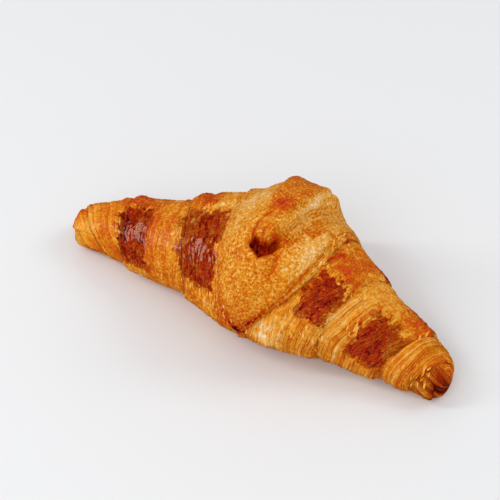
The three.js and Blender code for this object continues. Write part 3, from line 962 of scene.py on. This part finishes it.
# %% [markdown]
# ## The crust as a material
# One number says how far a place has browned, from pale dough to char, and one ramp turns it
# into colour, so all the colours are of one family. The same number also carries painted shade
# in crevices, gaps, dents and the hole, painted highlights on the sheets' lips, and a painted
# lighter right side. The maps set the broad amounts, noise adds mottling and pores, and
# stretched noise adds the lines of the layers. Egg wash adds gloss too.

# %% Colours of baked dough
def tint(red, green, blue):
    """A colour as it looks on a screen, from 0 to 255, as the linear values that nodes use."""
    shares = (channel / 255 for channel in (red, green, blue))
    return tuple(((c + 0.055) / 1.055) ** 2.4 if c > 0.04 else c / 12.92 for c in shares)


BAKE = [
    (0.00, tint(255, 228, 184)),
    (0.12, tint(252, 202, 128)),
    (0.26, tint(246, 175, 66)),
    (0.40, tint(236, 146, 18)),
    (0.52, tint(214, 108, 2)),
    (0.64, tint(214, 80, 0)),
    (0.76, tint(206, 54, 0)),
    (0.88, tint(160, 20, 0)),
    (1.00, tint(44, 4, 0)),
]
AMBER = tint(255, 205, 150)  # the film of baked egg wash


def material_graph(material):
    material.use_nodes = True
    tree = material.node_tree
    tree.nodes.clear()
    return Graph(tree)


def close_material(graph, looks):
    """Every material ends in one surface with its looks."""
    surface = graph.node("ShaderNodeBsdfPrincipled", links=looks)
    graph.node("ShaderNodeOutputMaterial", links={"Surface": surface})


def read(graph, name):
    """A map of the mesh, in a material."""
    return graph.node("ShaderNodeAttribute", {"attribute_name": name}, output="Fac")


# %% Noise and lines on the crust
skin = material_graph(crust_material)
spot = skin.node("ShaderNodeTexCoord", output="Object")
spot_x, spot_y, spot_z = skin.parts(spot)
in_mm = skin.node("ShaderNodeVectorMath", {"operation": "SCALE"}, {0: spot, "Scale": PER_MM})

patchy = noise(skin, in_mm, 0.07, 3.0, 0.6)
blotch = noise(skin, in_mm, 0.30, 3.0, 0.6)
grain = noise(skin, in_mm, 0.95, 3.0, 0.8)
cells = skin.node("ShaderNodeTexVoronoi", links={"Vector": in_mm, "Scale": 0.9})
beads = cells.smooth(0.55, 0.15)
rice = noise(skin, in_mm, 1.05).smooth(0.1, 0.8)
depth_here = read(skin, "depth")
steps, within, own_tone = sheet_steps(skin, depth_here / read(skin, "pitch"))
# Painted shade darkens the end of each sheet, in the gap before the next one rises, and a painted
# highlight pales each sheet's raised lip.
gap_shade = within.smooth(0.80, 0.97)
lip_highlight = within.smooth(0.02, 0.12) * within.smooth(0.32, 0.12)
lines = noise(skin, stretched(skin, depth_here, spot_y, spot_z, 50.0), 1.1, 3.0, 0.75)
streaks = noise(skin, stretched(skin, depth_here, spot_y, spot_z, 60.0), 0.35)
wrinkles = noise(skin, stretched(skin, depth_here, spot_y, spot_z, 330.0), 1.2, 3.0, 0.65, 0.5)
flecks = noise(skin, in_mm, 1.9, roughness=0.6).smooth(0.35, 1.0)

# %% Maps, with their edges broken up by noise
layers_here = read(skin, "layered")
grainy_here = read(skin, "grainy")
darkened = read(skin, "scorch_and_shade")
glazed_here = (read(skin, "glaze") + 1.3 * blotch + 0.9 * lines).smooth(-0.9, 1.1)
thin_wash = (blotch + 0.7 * patchy + 0.3 * lines).smooth(-0.2, 1.0)
browned_here = (read(skin, "browned") + 1.3 * blotch + 0.8 * lines).smooth(-1.5, 3.5)
pin_pores = grain.smooth(0.9, 1.5) * grainy_here

# %% How far each place has browned, with painted shade and light, and its colour
BARE, PAINTED_SIDE_LIGHT = 0.41, 0.6  # the second is for each metre from the middle
PATCHY, BLOTCH, GRAIN, GRAIN_ON_GRAINY, BEADS = 0.05, 0.055, 0.04, 0.08, 0.10
GRAINY, RICE, PIN_PORES = 0.05, 0.17, 0.24
LAYERED, OWN_TONE, GAP_SHADE, LIP_HIGHLIGHT, LINES, STREAKS = 0.07, 0.20, 0.24, 0.12, 0.11, 0.045
BROWNED, WASH, THIN_WASH, WRINKLES, FLECKS = 0.21, 0.42, 0.32, 0.13, 0.26
PALE, CAP, CREVICE_SHADE = 0.20, 0.11, 0.08
SCORCH_AND_SHADE, SCORCH_AND_SHADE_GRAIN, SCORCH_AND_SHADE_LINES = 0.60, 0.30, 0.35
FILM = 0.55

# Painted light: the crust is painted darker towards the left tip and lighter towards the right,
# standing in for the stronger light on the right horn.
browning_and_painted_light = BARE - PAINTED_SIDE_LIGHT * spot_x + PATCHY * patchy + BLOTCH * blotch
browning_and_painted_light += (GRAIN + GRAIN_ON_GRAINY * grainy_here) * grain
browning_and_painted_light -= BEADS * beads
browning_and_painted_light += grainy_here * (GRAINY - RICE * rice)
# Each sheet's own tone and lines, with the painted shade in its gap and the painted highlight on
# its lip.
sheeted = OWN_TONE * (own_tone - 0.5) + GAP_SHADE * gap_shade - LIP_HIGHLIGHT * lip_highlight - LINES * lines
browning_and_painted_light += layers_here * (LAYERED + sheeted)
browning_and_painted_light += PIN_PORES * pin_pores
browning_and_painted_light += STREAKS * streaks * (1.0 - read(skin, "dome"))
browning_and_painted_light += browned_here * (1.0 - glazed_here) * BROWNED
washed = WASH - THIN_WASH * thin_wash - WRINKLES * wrinkles - FLECKS * flecks
browning_and_painted_light += glazed_here * washed
browning_and_painted_light -= PALE * read(skin, "pale")
browning_and_painted_light += CAP * read(skin, "cap")
broken_darkening = 1.0 - SCORCH_AND_SHADE_GRAIN * grain - SCORCH_AND_SHADE_LINES * lines
# Painted shade in the crevices at the ledges.
browning_and_painted_light += CREVICE_SHADE * read(skin, "crevice_shade")
# Char, and the painted shade in the hole and in dents, darken the crust here.
browning_and_painted_light += SCORCH_AND_SHADE * darkened * broken_darkening
bake_colour = skin.node("ShaderNodeValToRGB", {"stops": BAKE}, {"Fac": browning_and_painted_light})
mixing = {"data_type": "RGBA", "blend_type": "MULTIPLY"}
film = {"Factor_Float": FILM * glazed_here, "A_Color": bake_colour, "B_Color": (*AMBER, 1.0)}
washed_colour = skin.node("ShaderNodeMix", mixing, film, "Result_Color")

# %% Gloss, bumps and the surface
DRY_SHINE = 0.10
wet = glazed_here * (1.0 - darkened)
roughness = 0.46 + 0.05 * grain - 0.18 * wet + 0.30 * darkened
height_mm = (0.10 * grainy_here + 0.04) * -grain + 0.20 * beads
height_mm += glazed_here * (0.68 * wrinkles + 0.10 * flecks)
height_mm += layers_here * (0.30 * steps + 0.14 * lines)
bump = skin.node("ShaderNodeBump", links={"Height": height_mm, "Distance": MM})
close_material(skin, {
    "Base Color": washed_colour,
    "Roughness": roughness,
    "Coat Weight": 0.16 - 0.11 * read(skin, "dome") + 0.52 * wet,
    "Coat Roughness": 0.15,
    "Normal": bump,
    "Specular IOR Level": DRY_SHINE,
})
print("crust material:", len(skin.tree.nodes), "nodes")

# %% The flakes: the same bake, a little paler, each with a tone of its own
flake_skin = material_graph(flake_material)
flake_spot = flake_skin.node("ShaderNodeTexCoord", output="Object")
flake_tone = noise(flake_skin, flake_spot, 0.4 * PER_MM, detail=1.0)
flake_browning = 0.34 + 0.12 * flake_tone
flake_colour = flake_skin.node("ShaderNodeValToRGB", {"stops": BAKE}, {"Fac": flake_browning})
flake_looks = {"Base Color": flake_colour, "Roughness": 0.45, "Coat Weight": 0.2}
close_material(flake_skin, flake_looks | {"Specular IOR Level": DRY_SHINE})
print("flake material:", len(flake_skin.tree.nodes), "nodes")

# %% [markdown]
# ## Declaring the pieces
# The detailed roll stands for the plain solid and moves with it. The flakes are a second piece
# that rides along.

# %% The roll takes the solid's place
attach(flakes, "root")
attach(crust, "root")
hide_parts("croissant")
print("pieces:", flakes.name, crust.name)

# %% [markdown]
# ## Camera, light and floor
# The camera looks down from the front right, from well back through a long lens. Most of the
# light comes from a bright room. A narrow window to the left and two soft lights shape the
# relief. A broad, warm sheen stands where the window does and is seen only in the gloss, so the
# highlights on the egg wash can be set without changing the shadows.

# %% Camera
AZIMUTH, ELEVATION, DISTANCE, LENS = 27.5, 47.0, 600.0, 118.0
TARGET = Vector((-8.4, 7.9 + CENTRED_BY, 18.0)) * MM
azimuth, elevation = math.radians(AZIMUTH), math.radians(ELEVATION)
back = Vector((
    math.sin(azimuth) * math.cos(elevation),
    -math.cos(azimuth) * math.cos(elevation),
    math.sin(elevation),
))
camera_data = bpy.data.cameras.new("camera")
camera_data.lens = LENS
camera = placed("camera", camera_data)
camera.location = TARGET + back * DISTANCE * MM
camera.rotation_euler = back.to_track_quat("Z", "Y").to_euler()
bpy.context.scene.camera = camera
print("camera at", tuple(round(c, 3) for c in camera.location))


# %% Lights
def area_light(name, place, width, length, power):
    data = bpy.data.lights.new(name, "AREA")
    data.shape = "RECTANGLE"
    data.size, data.size_y = width, length
    data.energy = power
    light = placed(name, data)
    light.location = place
    light.rotation_euler = Vector(place).to_track_quat("Z", "Y").to_euler()
    return light


WINDOW_AT = (-0.7, -0.36, 0.66)
window = area_light("window", WINDOW_AT, 0.07, 0.5, 2.5)
sheen = area_light("sheen", WINDOW_AT, 0.5, 0.8, 8.0)
softbox = area_light("softbox", (0, -0.75, 0.7), 0.7, 0.5, 2.4)
far_side = area_light("far side", (0.55, 0.45, 0.7), 0.4, 0.4, 1.8)
for light in (window, softbox, far_side):
    light.visible_glossy = False
sheen.data.color = (1.0, 0.86, 0.74)
sheen.visible_diffuse = False

ROOM_LIGHT = 0.705
world = bpy.data.worlds.new("studio")
bpy.context.scene.world = world
sky = material_graph(world)
room = sky.node("ShaderNodeBackground", links={"Color": (1, 1, 1, 1), "Strength": ROOM_LIGHT})
sky.node("ShaderNodeOutputWorld", links={"Surface": room})
world.cycles_visibility.glossy = False
bpy.context.scene.view_settings.view_transform = "Standard"

# %% Floor
FLOOR_REACH, FLOOR_BELOW = 3.0, 0.0002  # metres
FLOOR_TONE = (0.785, 0.795, 0.81)
square = ((-1, -1), (1, -1), (1, 1), (-1, 1))
floor_mesh = bpy.data.meshes.new("floor")
floor_mesh.from_pydata([(*(FLOOR_REACH * Vector(c)), 0) for c in square], [], [(0, 1, 2, 3)])
floor = placed("floor", floor_mesh)
floor.location.z = -FLOOR_BELOW
floor_material = bpy.data.materials.new("floor")
paper = material_graph(floor_material)
close_material(paper, {"Base Color": (*FLOOR_TONE, 1.0), "Roughness": 0.7})
floor_mesh.materials.append(floor_material)
floor.visible_glossy = False
floor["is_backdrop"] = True
print("floor:", 2 * FLOOR_REACH, "metres across")

# %% The sizes side by side
low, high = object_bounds()
{"cad": [list(cad_low), list(cad_high)], "visual": [list(low), list(high)]}
print("visual box in mm:", [round(c * 1000, 2) for c in (*low, *high)])
print("solid box in mm: ", [round(c * 1000, 2) for c in (*cad_low, *cad_high)])
